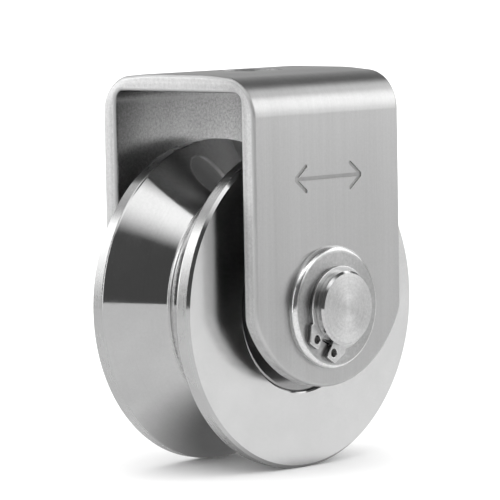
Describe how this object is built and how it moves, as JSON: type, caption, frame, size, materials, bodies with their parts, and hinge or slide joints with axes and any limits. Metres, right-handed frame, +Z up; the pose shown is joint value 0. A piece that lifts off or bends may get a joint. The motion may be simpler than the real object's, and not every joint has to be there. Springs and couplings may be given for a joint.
{
  "type": "gate wheel",
  "caption": "V-groove sliding gate wheel turning on ball bearings in a U-shaped stainless bracket with a top bolt hole.",
  "frame": {"origin": "centre of the top bolt hole, in the plane of the bracket's top face", "axes": "+Z up, along the top bolt; +Y along the axle, with the stamped leg at -Y; +X the direction of travel"},
  "size_m": [0.075, 0.059, 0.0911],
  "materials": {
    "bracket_plate": "stainless plate, brushed outside, matt pickled inside, ground edges",
    "wheel_steel": "stainless, polished groove and rims, fine turned faces",
    "pin_steel": "ground stainless bar, faced ends",
    "washer_steel": "satin stainless with a polished rim",
    "clip_steel": "stamped stainless spring steel",
    "spacer_steel": "turned stainless",
    "ring_steel": "ground bearing steel",
    "ball_steel": "polished bearing steel",
    "cage_steel": "pressed steel sheet",
    "shield_steel": "pressed steel sheet"
  },
  "bodies": {
    "frame": {"bracket": "bracket_plate", "axle_pin": "pin_steel", "centre_spacer": "spacer_steel", "front_washer": "washer_steel", "front_circlip": "clip_steel", "front_side_spacer": "spacer_steel", "front_bearing_inner_ring": "ring_steel", "rear_washer": "washer_steel", "rear_circlip": "clip_steel", "rear_side_spacer": "spacer_steel", "rear_bearing_inner_ring": "ring_steel"},
    "wheel_set": {"wheel": "wheel_steel", "front_bearing_outer_ring": "ring_steel", "front_bearing_shield_outside": "shield_steel", "front_bearing_shield_inside": "shield_steel", "rear_bearing_outer_ring": "ring_steel", "rear_bearing_shield_outside": "shield_steel", "rear_bearing_shield_inside": "shield_steel"},
    "front_ball_set": {"front_bearing_balls": "ball_steel", "front_bearing_cage_outside": "cage_steel", "front_bearing_cage_inside": "cage_steel", "front_bearing_cage_rivets": "cage_steel"},
    "rear_ball_set": {"rear_bearing_balls": "ball_steel", "rear_bearing_cage_outside": "cage_steel", "rear_bearing_cage_inside": "cage_steel", "rear_bearing_cage_rivets": "cage_steel"}
  },
  "joints": [
    {"name": "wheel_spin", "type": "hinge", "parent": "frame", "child": "wheel_set", "pos_m": [0, 0, -0.0536], "axis": [0, 1, 0], "continuous": true},
    {"name": "front_ball_set_spin", "type": "hinge", "parent": "frame", "child": "front_ball_set", "pos_m": [0, -0.009, -0.0536], "axis": [0, 1, 0], "continuous": true},
    {"name": "rear_ball_set_spin", "type": "hinge", "parent": "frame", "child": "rear_ball_set", "pos_m": [0, 0.009, -0.0536], "axis": [0, 1, 0], "continuous": true}
  ],
  "couplings": [
    {"joint": "front_ball_set_spin", "follows": "wheel_spin", "ratio": 0.6184},
    {"joint": "rear_ball_set_spin", "follows": "wheel_spin", "ratio": 0.6184}
  ]
}
